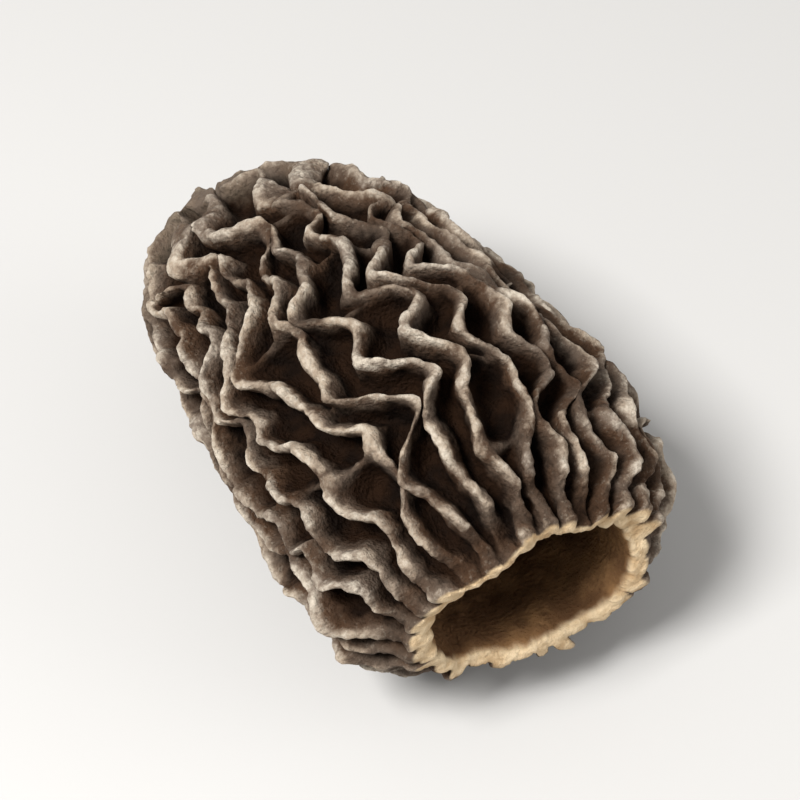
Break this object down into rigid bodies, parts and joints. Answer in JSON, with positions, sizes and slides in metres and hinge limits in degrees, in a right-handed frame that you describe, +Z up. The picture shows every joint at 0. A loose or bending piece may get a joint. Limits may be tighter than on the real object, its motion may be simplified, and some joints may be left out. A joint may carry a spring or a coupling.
{
  "type": "dried morel mushroom",
  "caption": "Small dried morel lying on its side: a hollow cap raised into a net of thin wavy ribs over dark pits, cut open where the stem was.",
  "frame": {"origin": "under the middle of the mushroom's bounding box, on the surface that it lies on", "axes": "+Y along the hollow from the cut end to the tip, +Z up from the surface, +X to the right as the cut end is looked into"},
  "size_m": [0.0152, 0.0242, 0.0139],
  "materials": {
    "morel_flesh": "dry, leathery and matt: pale tan crests over dark brown pits"
  },
  "bodies": {
    "root": {"morel": "morel_flesh"}
  },
  "joints": []
}
